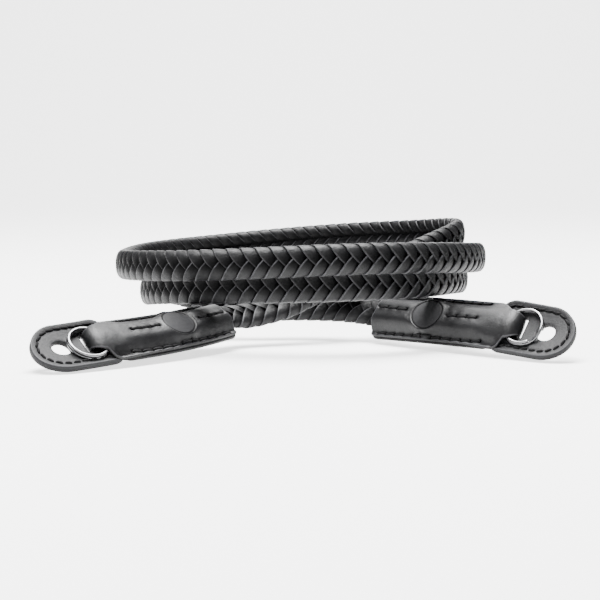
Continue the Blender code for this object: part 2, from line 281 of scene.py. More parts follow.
# Plain disc pressed into the tab, the line and the ridge round it
DISC_AT = 24.0
DISC_RADIUS = 6.3
DISC_DEPTH = 0.12
DISC_EDGE = 0.6
DISC_FADE = 0.5
DISC_FALL = 1.1
DISC_SKIRT = 3.0
RIM_DEPTH = 0.34
RIM_HALF = 0.27
RIDGE_HEIGHT = 0.07
RIDGE_OUT = 0.62

# Stitches, and how they press the leather
SLEEVE_PITCH = 4.2
STITCH_SLANT = 0.16
STITCH_GAP = 0.07
CHANNEL_DEPTH = 0.22
CHANNEL_HALF = 0.7
PUFF_HEIGHT = 0.16
HOLE_DEPTH = 0.45
HOLE_SPREAD = 0.5
# Painted shade in pressed-in places, and on the inner faces and cut edges
SUNK_FULL = 0.4
WALL_SHADE = 0.8
FLAP_PITCH = 3.0
FLAP_SLANT = 0.2
FLAP_GAP = 0.26
FLAP_STITCH_INSET = 2.1
FLAP_STITCH_START = 3.0
FLAP_STITCH_STEPS = 60
FLAP_STITCH_RISE = 0.04
THREAD_RADIUS = 0.44
THREAD_SIDES = 8
THREAD_ROWS = (
    # share of the stitch's length, rise over the leather, share of the radius
    (0.0, -0.42, 0.8),
    (0.06, -0.14, 0.9),
    (0.18, 0.06, 1.0),
    (0.38, 0.13, 1.0),
    (0.62, 0.13, 1.0),
    (0.82, 0.06, 1.0),
    (0.94, -0.14, 0.9),
    (1.0, -0.42, 0.8),
)
# A direction that no thread runs along
THREAD_ASIDE = (0.13, 0.21, 0.97)

# Flap's loops of points and the grid between them
OUTLINE_LOOPS = (
    # inset from the edge, height, painted highlight on the rim
    (0.0, -0.3, 0.0),
    (0.1, -0.14, 0.5),
    (0.3, 0.0, 1.0),
    (0.55, 0.03, 0.0),
    (1.65, 0.0, 0.0),
    (2.1, -0.2, 0.0),
    (2.55, 0.0, 0.0),
)
OPENING_LOOPS = (
    # outset from the opening, height, painted highlight on the rim
    (0.0, -0.25, 0.0),
    (0.12, -0.08, 0.7),
    (0.3, 0.0, 0.0),
)
TIP_STEPS = 64
LEAST_CORNER = 0.4
SIDE_PIECES = 16
ROOT_PIECES = 8
HOLE_STEPS = 48
SLIT_STEPS = 4
FLAP_GRID = 1.1
GRID_HALF = 9.9
GRID_CLEARANCE = 0.45
MERGE_WITHIN = 1e-6

# Split ring
TURN_GAP = 0.03
RING_STATIONS = 260
RING_SIDES = 16
RING_POWER = 0.75
RING_END_THIN = 0.25
RING_END_SPAN = 0.04

# Angles in degrees over which an edge looks sharp
SHARP_LACE = 35
SHARP_EDGE = 50

# Most of a noise's values lie in this range
NOISE_RANGE = (0.3, 0.7)

# Colours
LEATHER_DARK = (0.002, 0.002, 0.0022)
LEATHER_LIGHT = (0.007, 0.007, 0.0077)
# Painted shade on the tucked parts of the laces and beside the tab mouths
LACE_SHADE_COLOUR = (0.0008, 0.0008, 0.0009)
# Painted shade in the pressed-in grooves and holes and on the inner faces
SUNK_SHADE_COLOUR = (0.0006, 0.0006, 0.0007)
# Painted highlight on the rims of the laces and flaps, partly burnished wear
RIM_HIGHLIGHT_COLOUR = (0.05, 0.05, 0.053)
# Painted highlight along the sleeve's bevelled edge, partly burnished wear
SLEEVE_RIM_HIGHLIGHT = (0.04, 0.04, 0.043)
# Core under the laces: darker than the laces, painted shade for the gaps between them
CORE_DARK = (0.001, 0.001, 0.001)
CORE_LIGHT = (0.003, 0.003, 0.003)
# The disc is painted lighter than the sleeve: painted light that offsets the coil's shade on it
DISC_DARK = (0.012, 0.012, 0.013)
DISC_LIGHT = (0.03, 0.03, 0.032)
FLAP_DARK = (0.004, 0.004, 0.0044)
FLAP_LIGHT = (0.012, 0.012, 0.013)
THREAD_DARK = (0.001, 0.001, 0.0011)
THREAD_LIGHT = (0.004, 0.004, 0.0044)
STEEL_DARK = (0.14, 0.14, 0.143)
STEEL_LIGHT = (0.18, 0.18, 0.184)
FLOOR_GREY = (0.62, 0.62, 0.62)
WHITE = (1.0, 1.0, 1.0)

# Camera in the layout's own coordinates, and how far it is pitched down
CAMERA_AT = (0.0, -587.0, 72.0)
CAMERA_LENS = 87.0
CAMERA_PITCH = math.atan(152 / 1450)

# Floor and light, in metres
FLOOR_FRONT = 1.6
FLOOR_BACK = 1.2
FLOOR_BEND = 1.0
FLOOR_TOP = 3.4
FLOOR_HALF = 0.62
FLOOR_BELOW = 0.0009
BEND_LINES = 13
FLOOR_GLOW = 1.8
WORLD_GLOW = 0.12
LIGHTS = (
    # name, place, aimed at, width, height, power
    ("top", (-0.05, 0.04, 0.9), (0.0, 0.0, 0.0), 0.85, 0.45, 72.0),
    ("wall", (0.0, 0.9, 1.6), (0.0, 2.2, 0.9), 2.4, 0.8, 110.0),
    ("front", (-0.5, -0.9, 0.6), (0.0, 0.0, 0.02), 0.5, 0.3, 3.0),
)


def smooth(share):
    """The share eased to start and end level."""
    share = np.clip(share, 0.0, 1.0)
    return share * share * (3.0 - 2.0 * share)


def column(rows, index):
    return np.array([row[index] for row in rows], float)


def along(rows, index, at):
    return np.interp(at, column(rows, 0), column(rows, index))


def unit(vector):
    return vector / np.linalg.norm(vector, axis=-1, keepdims=True)


def read(at, knots, table):
    """Every column of a table whose rows lie at the knots, read at other places."""
    return np.stack([np.interp(at, knots, table[:, i]) for i in range(table.shape[1])], -1)


def run_along(path):
    """Distance along a path from its first point to each point."""
    return np.r_[0.0, np.cumsum(np.linalg.norm(np.diff(path, axis=0), axis=1))]


def oval(angle, wide, tall, power):
    """Places across and up at these angles round an oval, which is fuller or leaner with the power."""
    c, s = np.cos(angle), np.sin(angle)
    return np.stack([wide * np.sign(c) * np.abs(c) ** power, tall * np.sign(s) * np.abs(s) ** power], -1)


def cubic(knots, values, at):
    """Natural cubic curve through values at the knots, read at other places."""
    count = len(knots)
    step = np.diff(knots)
    slope = np.diff(values, axis=0) / step[:, None]
    matrix = np.eye(count)
    right = np.zeros((count, values.shape[1]))
    for i in range(1, count - 1):
        matrix[i, i - 1 : i + 2] = step[i - 1], 2 * (step[i - 1] + step[i]), step[i]
        right[i] = 6 * (slope[i] - slope[i - 1])
    bend = np.linalg.solve(matrix, right)
    place = np.clip(np.searchsorted(knots, at, side="right") - 1, 0, count - 2)
    h = step[place][:, None]
    a = (knots[place + 1] - at)[:, None] / h
    b = (at - knots[place])[:, None] / h
    curve = a * values[place] + b * values[place + 1]
    return curve + ((a**3 - a) * bend[place] + (b**3 - b) * bend[place + 1]) * h * h / 6


# Tab placing, as in the solids


def axis_angles(pose, u):
    share = 0.5 - np.asarray(u, float) / POSE_SPAN
    yaw = np.radians(pose["yaw"] + pose["yaw_change"] * share)
    slope = np.radians(pose["slope"] + pose["slope_change"] * share)
    tilt = np.radians(pose["tilt"] + pose["tilt_change"] * share)
    return yaw, slope, tilt


def axis_direction(pose, u):
    yaw, slope, _ = axis_angles(pose, u)
    level = np.cos(slope)
    return np.stack([pose["side"] * np.cos(yaw) * level, -np.sin(yaw) * level, -np.sin(slope)], -1)


def tab_frame(pose, u):
    """Axis direction, level direction and upright direction at u."""
    ahead = axis_direction(pose, u)
    flat = pose["side"] * unit(np.cross([0.0, 0.0, 1.0], ahead))
    return ahead, flat, pose["side"] * np.cross(ahead, flat)


def axis_point(pose, u):
    """Place of the tab's axis at u, which bends evenly from the mouth on."""
    fine = np.linspace(-AXIS_BEFORE, TAB_LENGTH + AXIS_BEYOND, AXIS_STATIONS)
    ahead = axis_direction(pose, fine)
    steps = (ahead[1:] + ahead[:-1]) / 2 * (fine[1] - fine[0])
    path = np.vstack([np.zeros(3), np.cumsum(steps, axis=0)])
    return read(u, fine, path) - read(0.0, fine, path) + pose["mouth"]


def lay(pose, u, v, n):
    """World place of a point of the tab, which is cupped across its width."""
    u, v, n = (np.asarray(value, float).ravel() for value in np.broadcast_arrays(u, v, n))
    _, _, tilt = axis_angles(pose, u)
    _, flat, upright = tab_frame(pose, u)
    cup = math.radians(pose["cup"])
    lean = tilt + cup * v
    level = (np.sin(lean) - np.sin(tilt)) / cup - n * np.sin(lean)
    rise = (np.cos(tilt) - np.cos(lean)) / cup + n * np.cos(lean)
    return axis_point(pose, u) + level[:, None] * flat + rise[:, None] * upright


# Making meshes


def grid_faces(rows, columns, start=0, closed=False):
    """Quads of a grid of points; a closed grid joins its last column to its first."""
    near = start + np.arange(rows - 1)[:, None] * columns
    j = np.arange(columns if closed else columns - 1)[None, :]
    k = (j + 1) % columns
    return np.stack([near + j, near + k, near + columns + k, near + columns + j], -1).reshape(-1, 4)


def tube_faces(stations, sides):
    """Quads round a tube, and a face that closes each end."""
    last = (stations - 1) * sides
    faces = [tuple(face) for face in grid_faces(stations, sides, closed=True)]
    return [*faces, tuple(range(sides))[::-1], tuple(range(last, last + sides))]


def wall_faces(rows, columns):
    """Quads all round that join the edges of a grid of points to those of the grid that follows it."""
    below = rows * columns
    faces = []
    for side in (0, columns - 1):
        for i in range(rows - 1):
            a, b = i * columns + side, (i + 1) * columns + side
            face = (a, b, below + b, below + a)
            faces.append(face if side == 0 else face[::-1])
    for end in (0, rows - 1):
        for j in range(columns - 1):
            a, b = end * columns + j, end * columns + j + 1
            face = (b, a, below + a, below + b)
            faces.append(face if end == 0 else face[::-1])
    return faces


def new_piece(name, points, faces, materials, sharp=None):
    """A piece from points in millimetres; the faces are turned outwards."""
    mesh = bpy.data.meshes.new(name)
    places = (np.asarray(points) - ORIGIN) * MM
    mesh.from_pydata(places.tolist(), [], [tuple(face) for face in np.asarray(faces, dtype=object)])
    mesh.update()
    mesh.calc_loop_triangles()
    corners = places[np.array([triangle.vertices for triangle in mesh.loop_triangles])]
    if np.linalg.det(corners).sum() < 0:
        mesh.flip_normals()
    body = bpy.data.objects.new(name, mesh)
    for material in materials:
        mesh.materials.append(material)
    bpy.context.scene.collection.objects.link(body)
    mesh.shade_smooth()
    if sharp:
        mesh.set_sharp_from_angle(angle=math.radians(sharp))
    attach(body, "root")
    return body


def give_numbers(piece, name, values):
    """Keeps one number for each vertex, for the material to read."""
    layer = piece.data.attributes.new(name, "FLOAT", "POINT")
    layer.data.foreach_set("value", np.asarray(values, np.float32))


# Materials


class Nodes:
    """Short names for making and joining shader nodes."""

    def __init__(self, name):
        self.material = bpy.data.materials.new(name)
        self.material.use_nodes = True
        self.tree = self.material.node_tree
        self.shader = self.tree.nodes["Principled BSDF"]

    def add(self, kind, values=(), **settings):
        node = self.tree.nodes.new(kind)
        for key, value in settings.items():
            setattr(node, key, value)
        for key, value in dict(values).items():
            self.put(node.inputs[key], value)
        return node

    def put(self, socket, value):
        """Joins another node's socket, or sets a number or a colour of three parts."""
        if isinstance(value, bpy.types.NodeSocket):
            self.tree.links.new(value, socket)
        elif isinstance(value, tuple):
            socket.default_value = (*value, 1.0)
        else:
            socket.default_value = value

    def place(self):
        return self.add("ShaderNodeTexCoord").outputs["Object"]

    def number(self, name):
        return self.add("ShaderNodeAttribute", attribute_name=name).outputs["Fac"]

    def noise(self, scale, detail, rough=0.55):
        values = {"Scale": scale, "Detail": detail, "Roughness": rough, "Vector": self.place()}
        return self.add("ShaderNodeTexNoise", values).outputs["Fac"]

    def pores(self, scale):
        values = {"Scale": scale, "Vector": self.place()}
        return self.add("ShaderNodeTexVoronoi", values, feature="DISTANCE_TO_EDGE").outputs["Distance"]

    def spread(self, value, before, after):
        """The value with one range, low and high, stretched to another."""
        values = {"Value": value, "From Min": before[0], "From Max": before[1]}
        values.update({"To Min": after[0], "To Max": after[1]})
        return self.add("ShaderNodeMapRange", values).outputs["Result"]

    def maths(self, operation, a, b):
        return self.add("ShaderNodeMath", {0: a, 1: b}, operation=operation).outputs[0]

    def blend(self, share, none, full):
        values = {"Factor": share, "A": none, "B": full}
        return self.add("ShaderNodeMix", values, data_type="RGBA").outputs["Result"]

    def bump(self, height, strength, distance, normal=None):
        node = self.add("ShaderNodeBump", {"Strength": strength, "Distance": distance, "Height": height})
        if normal:
            self.put(node.inputs["Normal"], normal)
        return node.outputs["Normal"]

    def finish(self, colour, roughness, normal=None, metallic=0.0, specular=0.5):
        """Sets the shader and gives the material."""
        values = {"Base Color": colour, "Roughness": roughness}
        values.update({"Metallic": metallic, "Specular IOR Level": specular})
        for key, value in values.items():
            self.put(self.shader.inputs[key], value)
        if normal:
            self.put(self.shader.inputs["Normal"], normal)
        return self.material


def lace_leather():
    n = Nodes("lace_leather")
    grain = n.noise(scale=2600.0, detail=4.0, rough=0.6)
    creases = n.noise(scale=700.0, detail=4.0, rough=0.6)
    highlight_patches = n.spread(n.noise(scale=420.0, detail=2.0), before=(0.35, 0.65), after=(0.35, 1.0))
    # Painted shade where the laces tuck under and beside the tabs: darker colour and less specular
    lace_shade = n.number("lace_shade")
    colour = n.blend(n.noise(scale=260.0, detail=3.0), LEATHER_DARK, LEATHER_LIGHT)
    colour = n.blend(lace_shade, colour, LACE_SHADE_COLOUR)
    # Painted highlight on the lace rims, broken up by noise, partly burnished wear
    colour = n.blend(n.maths("MULTIPLY", n.number("rim"), highlight_patches), colour, RIM_HIGHLIGHT_COLOUR)
    roughness = n.spread(grain, before=NOISE_RANGE, after=(0.38, 0.56))
    specular = n.spread(lace_shade, before=(0.0, 1.0), after=(0.22, 0.02))
    normal = n.bump(grain, strength=0.5, distance=0.00016)
    normal = n.bump(creases, strength=0.5, distance=0.0005, normal=normal)
    return n.finish(colour, roughness, normal, specular=specular)


def core_leather():
    n = Nodes("core_leather")
    colour = n.blend(n.noise(scale=900.0, detail=3.0), CORE_DARK, CORE_LIGHT)
    return n.finish(colour, roughness=0.8, specular=0.1)


def sleeve_leather():
    n = Nodes("sleeve_leather")
    patches = n.noise(scale=120.0, detail=4.0)
    disc = n.number("disc")
    sunk_shade = n.number("sunk_shade")
    # Painted light: the disc is lighter to offset the coil's shade on it
    disc_colour = n.blend(n.noise(scale=700.0, detail=3.0), DISC_DARK, DISC_LIGHT)
    colour = n.blend(disc, n.blend(patches, LEATHER_DARK, LEATHER_LIGHT), disc_colour)
    # Painted highlight along the bevelled edge
    colour = n.blend(n.number("rim"), colour, SLEEVE_RIM_HIGHLIGHT)
    # Painted shade where the face is pressed in and on the inner faces: darker colour and less specular
    colour = n.blend(sunk_shade, colour, SUNK_SHADE_COLOUR)
    roughness = n.spread(patches, before=NOISE_RANGE, after=(0.36, 0.47))
    roughness = n.maths("ADD", roughness, n.maths("MULTIPLY", disc, 0.25))
    specular = n.spread(sunk_shade, before=(0.0, 1.0), after=(0.25, 0.02))
    normal = n.bump(n.noise(scale=3000.0, detail=3.0, rough=0.6), strength=0.5, distance=0.00016)
    normal = n.bump(n.pores(scale=1900.0), strength=0.3, distance=0.00014, normal=normal)
    normal = n.bump(n.noise(scale=240.0, detail=3.0), strength=0.35, distance=0.0006, normal=normal)
    return n.finish(colour, roughness, normal, specular=specular)


def flap_leather():
    n = Nodes("flap_leather")
    grain = n.noise(scale=1500.0, detail=5.0, rough=0.65)
    colour = n.blend(n.noise(scale=150.0, detail=4.0), FLAP_DARK, FLAP_LIGHT)
    # Painted highlight along the bevel of the flap's edges
    colour = n.blend(n.number("rim"), colour, RIM_HIGHLIGHT_COLOUR)
    roughness = n.spread(grain, before=NOISE_RANGE, after=(0.48, 0.64))
    normal = n.bump(grain, strength=0.6, distance=0.0002)
    normal = n.bump(n.pores(scale=1300.0), strength=0.45, distance=0.00014, normal=normal)
    return n.finish(colour, roughness, normal, specular=0.2)


def waxed_thread():
    n = Nodes("thread")
    values = {"Scale": 900.0, "Distortion": 1.0, "Vector": n.place()}
    twist = n.add("ShaderNodeTexWave", values, bands_direction="DIAGONAL").outputs["Fac"]
    colour = n.blend(twist, THREAD_DARK, THREAD_LIGHT)
    return n.finish(colour, roughness=0.7, normal=n.bump(twist, strength=0.4, distance=0.0001), specular=0.12)


def polished_steel():
    n = Nodes("polished_steel")
    marks = n.noise(scale=700.0, detail=2.0)
    roughness = n.spread(marks, before=NOISE_RANGE, after=(0.26, 0.36))
    return n.finish(n.blend(marks, STEEL_DARK, STEEL_LIGHT), roughness, metallic=1.0)


def pale_floor():
    n = Nodes("pale_floor")
    n.put(n.shader.inputs["Emission Color"], WHITE)
    n.put(n.shader.inputs["Emission Strength"], FLOOR_GLOW)
    return n.finish(FLOOR_GREY, roughness=0.9, specular=0.1)


LACE = lace_leather()
CORE = core_leather()
SLEEVE = sleeve_leather()
FLAP = flap_leather()
THREAD = waxed_thread()
STEEL = polished_steel()

# Camera

camera = bpy.data.objects.new("camera", bpy.data.cameras.new("camera"))
camera.data.sensor_width = 36.0
camera.data.lens = CAMERA_LENS
camera.data.clip_start = 0.02
camera.location = (np.array(CAMERA_AT) - ORIGIN) * MM
camera.rotation_euler = (math.pi / 2 - CAMERA_PITCH, 0.0, 0.0)
bpy.context.scene.collection.objects.link(camera)
bpy.context.scene.camera = camera


# Braid


def inside_rows(pose, outwards):
    """The braid's stations inside a tab, from its end out to the mouth or back."""
    rows = []
    for u, n, half, thick in INSIDE_ROWS:
        _, _, tilt = axis_angles(pose, u)
        rows.append((*lay(pose, u, 0.0, n)[0], 90.0 - math.degrees(tilt), half, thick))
    return rows if outwards else rows[::-1]


def free_rows(rows):
    """The rows with the braid's full half width and half thickness."""
    return [(*row, BRAID_HALF, BRAID_THICK) for row in rows]


def coil_rows():
    """The coil's stations: x, y, z and lean."""
    rows = []
    for bearing, radius, height in COIL:
        s, c = math.sin(math.radians(bearing)), math.cos(math.radians(bearing))
        reach = radius * (abs(s) ** SQUARENESS + abs(c) ** SQUARENESS) ** (-1 / SQUARENESS)
        rows.append((reach * s, COIL_CENTRE_Y - reach * c, height, 0.0))
    return rows


def braid_route(stations):
    """Evenly spaced stations: x, y, z, lean in degrees, half width, half thickness, and the whole length."""
    left = inside_rows(POSES["left"], True)
    right = inside_rows(POSES["right"], False)
    free = [*free_rows(LEAD_IN), *free_rows(coil_rows()), *free_rows(LEAD_OUT)]
    knots = np.array([*left, *free, *right], float)
    lengths = run_along(knots[:, :3])
    fine = np.linspace(0.0, lengths[-1], ROUTE_FINE)
    run = run_along(cubic(lengths, knots[:, :3], fine))
    even = np.interp(np.linspace(0.0, run[-1], stations), run, fine)
    return np.hstack([cubic(lengths, knots[:, :3], even), read(even, lengths, knots[:, 3:])]), run[-1]


ROUTE, BRAID_LENGTH = braid_route(ROUTE_STATIONS)
ROUTE_AT = np.linspace(0.0, BRAID_LENGTH, len(ROUTE))
AHEAD = unit(np.gradient(ROUTE[:, :3], axis=0))
INWARDS = unit(np.cross([0.0, 0.0, 1.0], AHEAD))
LEAN = np.radians(ROUTE[:, 3])[:, None]
TALL = np.cos(LEAN) * np.cross(AHEAD, INWARDS) + np.sin(LEAN) * INWARDS
DEEP = np.cross(AHEAD, TALL)


def section_outline():
    """Round the free section from its top edge by the outer face: distance, place and outward direction."""
    place = oval(np.linspace(0.0, 2 * math.pi, OUTLINE_FINE), BRAID_HALF, BRAID_THICK, SECTION_POWER)
    run = run_along(place)
    even = np.linspace(0.0, run[-1], OUTLINE_STATIONS)
    place = read(even, run, place)
    slope = unit(np.roll(place[:-1], -1, axis=0) - np.roll(place[:-1], 1, axis=0))
    slope = np.vstack([slope, slope[:1]])
    return even, place, np.stack([slope[:, 1], -slope[:, 0]], -1)


OUTLINE_AT, OUTLINE, OUTLINE_OUT = section_outline()
GIRTH = OUTLINE_AT[-1]


def braid_points(s, q, h):
    """World places from the distance along the braid, round its section and above its face."""
    q = np.mod(q, GIRTH)
    at = read(q, OUTLINE_AT, OUTLINE)
    out = read(q, OUTLINE_AT, OUTLINE_OUT)
    out = out * np.sign((out * at).sum(-1, keepdims=True))
    route, tall, deep = (read(s, ROUTE_AT, table) for table in (ROUTE, TALL, DEEP))
    wide_size, deep_size = route[..., 4] / BRAID_HALF, route[..., 5] / BRAID_THICK
    wide = at[..., 0] * wide_size + out[..., 0] * h * deep_size
    thick = at[..., 1] * deep_size + out[..., 1] * h * deep_size
    return route[..., :3] + wide[..., None] * tall + thick[..., None] * deep


def make_leaves(family):
    """Points, painted rim highlights and painted shade of the tucked ends of every lace's outer stretch, for
    one of the two families of laces.
    """
    cell = GIRTH / LACES
    slope = math.atan2(cell, LACE_PITCH / 2)
    way = 1 if family == 0 else -1
    middle = 0.0 if family == 0 else GIRTH / 2
    ends = np.array(END_STATIONS)
    reach = np.r_[-ends[::-1], np.linspace(-FINE_REACH, FINE_REACH, FINE_STATIONS), ends]
    starts = np.arange(HIDDEN_END, BRAID_LENGTH - HIDDEN_END, LACE_PITCH) + family * LACE_PITCH / 2
    leaf, station, corner = np.meshgrid(starts, reach, np.arange(len(LACE_PROFILE)), indexing="ij")
    share, height, rim = (column(LACE_PROFILE, i)[corner] for i in range(3))
    away = np.abs(station)
    x = share * LACE_HALF
    bent = station * (1.0 - LACE_BEND + LACE_BEND * np.clip(station / BEND_SPAN, -BEND_MOST, BEND_MOST) ** 2)
    s = leaf + bent * LACE_PITCH / 2 + x * math.sin(slope)
    q = middle + way * (station * cell - x * math.cos(slope))
    dive = smooth(away - DIVE_START + DIVE_SKEW * share) * LACE_DIVE
    relief = EDGE_RELIEF + (1.0 - EDGE_RELIEF) * smooth(away / RELIEF_SPAN)
    h = np.where(height > 0, relief, 1.0) * height - LACE_TILT * share * relief - dive
    # Painted highlight on the rims, dimmer on the upper family, where the light falls less on them
    rim_highlight = rim * (away < RIM_HIGHLIGHT_REACH) * (UPPER_RIM_HIGHLIGHT if family == 0 else 1.0)
    # Painted shade where a lace dives under and along its low edge, and beside the tab mouths
    lace_shade = np.maximum(smooth((away - TUCK_START) / TUCK_SPAN), EDGE_TUCK * smooth(share * EDGE_TUCK_RISE))
    shaded = MOUTH_SHADE * smooth((MOUTH_NEAR - np.minimum(s, BRAID_LENGTH - s)) / MOUTH_SHADE_SPAN)
    return braid_points(s, q, h), rim_highlight * (1.0 - shaded), np.maximum(lace_shade, shaded)


def leaf_faces(leaves, stations, corners, start):
    """Quads of every lace of one family, each a grid closed round."""
    one = grid_faces(stations, corners, closed=True)
    size = stations * corners
    shifts = start + np.arange(leaves)[:, None, None] * size
    return (one[None] + shifts).reshape(-1, 4)


def make_core():
    """A plain band under the laces, which shows only between them; its colour, darker than the laces, is
    painted shade in the gaps.
    """
    at = np.linspace(0.0, BRAID_LENGTH, CORE_STATIONS)
    q = np.arange(CORE_SIDES) * GIRTH / CORE_SIDES
    s, q = np.meshgrid(at, q, indexing="ij")
    return braid_points(s, q, np.full(s.shape, -CORE_INSET)).reshape(-1, 3)


def make_braid():
    """The laces over their core, in place of the braid's solid."""
    points, rims, lace_shades, faces, slots = [], [], [], [], []
    start = 0
    for family in (0, 1):
        places, rim, lace_shade = make_leaves(family)
        faces.append(leaf_faces(*rim.shape, start))
        slots += [0] * len(faces[-1])
        points.append(places.reshape(-1, 3))
        rims.append(rim.ravel())
        lace_shades.append(lace_shade.ravel())
        start += rim.size
    points.append(make_core())
    rims.append(np.zeros(len(points[-1])))
    lace_shades.append(np.ones(len(points[-1])))
    faces.append(grid_faces(CORE_STATIONS, CORE_SIDES, start, closed=True))
    slots += [1] * len(faces[-1])
    piece = new_piece("braid_laces", np.vstack(points), np.vstack(faces), [LACE, CORE], SHARP_LACE)
    piece.data.polygons.foreach_set("material_index", slots)
    give_numbers(piece, "rim", np.concatenate(rims))
    give_numbers(piece, "lace_shade", np.concatenate(lace_shades))
    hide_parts("braid")
    start_point = tuple((lay(POSES["left"], *CORD_EXIT)[0] - ORIGIN) * MM)


# Tabs


def tab_half(u, shoulder, swell=0.0):
    """Half the strip's width at u: it swells towards the shoulder, then narrows to the tongue."""
    narrow = smooth((u - shoulder[0]) / (shoulder[1] - shoulder[0]))
    corner = np.interp(u, column(MOUTH_ROUND, 0), column(MOUTH_ROUND, 1))
    wide = SLEEVE_HALF + swell * smooth((u - SWELL_START) / (shoulder[0] - SWELL_START))
    return float(wide + (TONGUE_HALF - wide) * narrow - corner)


def bump(across):
    """Height of the moulded crown, 1 in the middle and 0 at its feet."""
    return np.clip(1.0 - across**CROWN_FLATNESS, 0.0, 1.0) ** CROWN_FALL


def seam_share(u, v):
    """How far the wing's edge still lies on the backing, 1 beside the flap's rounded root and 0 on the flap."""
    lifted = smooth((u - WING_LIFT[0]) / (WING_LIFT[1] - WING_LIFT[0]))
    return smooth((np.abs(v) - WING_EDGE) / WING_SPAN) * (1.0 - lifted)


def top_height(u, v):
    """Height of the sleeve's face: a crown that widens into the shoulder, with a flatter place for the disc."""
    u, v = np.broadcast_arrays(np.asarray(u, float), np.asarray(v, float))
    crown, edge = along(TOP_ROWS, 1, u), along(TOP_ROWS, 2, u)
    edge = edge + (TOP_ROWS[0][2] - edge) * seam_share(u, v)
    arched = np.clip(1.0 - (v / SLEEVE_HALF) ** 2, 0.0, 1.0)
    share = bump(v / CROWN_HALF)
    share = share + (arched - share) * smooth((u - SHOULDER_BLEND[0]) / (SHOULDER_BLEND[1] - SHOULDER_BLEND[0]))
    height = edge + (crown - edge) * share
    away = np.hypot(u - DISC_AT, v)
    plateau = along(TOP_ROWS, 1, DISC_AT) - DISC_FALL * (v / DISC_RADIUS) ** 2
    return height + (plateau - height) * smooth((DISC_RADIUS + DISC_SKIRT - away) / DISC_SKIRT)


def stitch_rows(side):
    """Every row of stitches on a sleeve, as the photograph has them."""
    way = 1 if side == "right" else -1
    return (
        # first u, first v, last u, last v
        (1.2, 1.4 * way, 14.6, 0.9 * way),
        (32.6, 0.2, 45.2, 0.0),
        (2.0, -7.9, 48.5, -7.9),
        (2.0, 7.9, 47.0, 7.9),
    )


def stitch_spots(row):
    """Ends of each stitch of a straight row: u and v of the first and the last end."""
    u0, v0, u1, v1 = row
    count = max(1, round(math.hypot(u1 - u0, v1 - v0) / SLEEVE_PITCH))
    edges = np.linspace(0.0, 1.0, count + 1)
    start, end = edges[:-1] + STITCH_GAP / count, edges[1:] - STITCH_GAP / count
    first = np.stack([u0 + (u1 - u0) * start, v0 + (v1 - v0) * start - STITCH_SLANT], -1)
    last = np.stack([u0 + (u1 - u0) * end, v0 + (v1 - v0) * end + STITCH_SLANT], -1)
    return first, last


def pressed(u, v, rows):
    """How far the sleeve's face is pressed in: the disc, its rim line, stitch channels and stitch holes."""
    away = np.hypot(u - DISC_AT, v)
    depth = RIM_DEPTH * np.exp(-(((away - DISC_RADIUS) / RIM_HALF) ** 2))
    depth = depth - RIDGE_HEIGHT * np.exp(-(((away - DISC_RADIUS - RIDGE_OUT) / RIM_HALF) ** 2))
    depth = depth + DISC_DEPTH * smooth((DISC_RADIUS - away) / DISC_EDGE)
    for row in rows:
        u0, v0, u1, v1 = row
        share = np.clip((u - u0) / (u1 - u0), 0.0, 1.0)
        aside = np.hypot(v - (v0 + (v1 - v0) * share), u - (u0 + (u1 - u0) * share))
        between = np.sin(math.pi * share * max(1, round((u1 - u0) / SLEEVE_PITCH))) ** 2
        depth = depth + CHANNEL_DEPTH * np.exp(-((aside / CHANNEL_HALF) ** 2))
        depth = depth - PUFF_HEIGHT * between * np.exp(-((aside / (2 * CHANNEL_HALF)) ** 2))
        first, last = stitch_spots(row)
        for spot in np.vstack([first[:1], (first[1:] + last[:-1]) / 2, last[-1:]]):
            gone = np.hypot(u - spot[0], v - spot[1])
            depth = depth + HOLE_DEPTH * np.exp(-((gone / HOLE_SPREAD) ** 2))
    return depth


def strip_stations():
    """Stations round the folded strip: the stretch, its u or its turn round the fold, and both half widths."""
    rows = []
    for u in np.r_[MOUTH_STATIONS, np.arange(FACE_START, FOLD_CENTRE, FACE_STEP), FOLD_CENTRE]:
        rows.append(("face", u, (tab_half(u, LOWER_SHOULDER, SHOULDER_SWELL), tab_half(u, UPPER_SHOULDER))))
    start = rows[-1][2]
    for step in range(1, FOLD_STEPS):
        narrowed = float(smooth(step / FOLD_STEPS * FOLD_NARROWING))
        halves = tuple(half + (FOLD_HALF - half) * narrowed for half in start)
        rows.append(("fold", math.pi * step / FOLD_STEPS, halves))
    for u in np.r_[np.arange(FOLD_CENTRE, FACE_START, -BACK_STEP), MOUTH_STATIONS[::-1]]:
        half = tab_half(u, BACK_SHOULDER)
        rows.append(("back", u, (half, half)))
    return rows


def strip_place(stretch, at, v, inner):
    """Places of a station's outer or inner face: u and n at each v."""
    if stretch == "face":
        return np.full_like(v, at), top_height(np.full_like(v, at), v) - inner * LEATHER
    if stretch == "back":
        face = along(BACK_ROWS, 1, np.full_like(v, at))
        face = face + (BACK_ROWS[0][1] - face) * seam_share(at, v)
        return np.full_like(v, at), face + (SEAM_CLOSED if inner else -LEATHER)
    top = top_height(np.full_like(v, FOLD_CENTRE), v)
    tall = (top - FOLD_BOTTOM) / 2 - inner * LEATHER
    nose = FOLD_NOSE * (top - FOLD_BOTTOM) / (FOLD_TOP - FOLD_BOTTOM) - inner * LEATHER
    return FOLD_CENTRE + nose * math.sin(at), (top + FOLD_BOTTOM) / 2 + tall * math.cos(at)


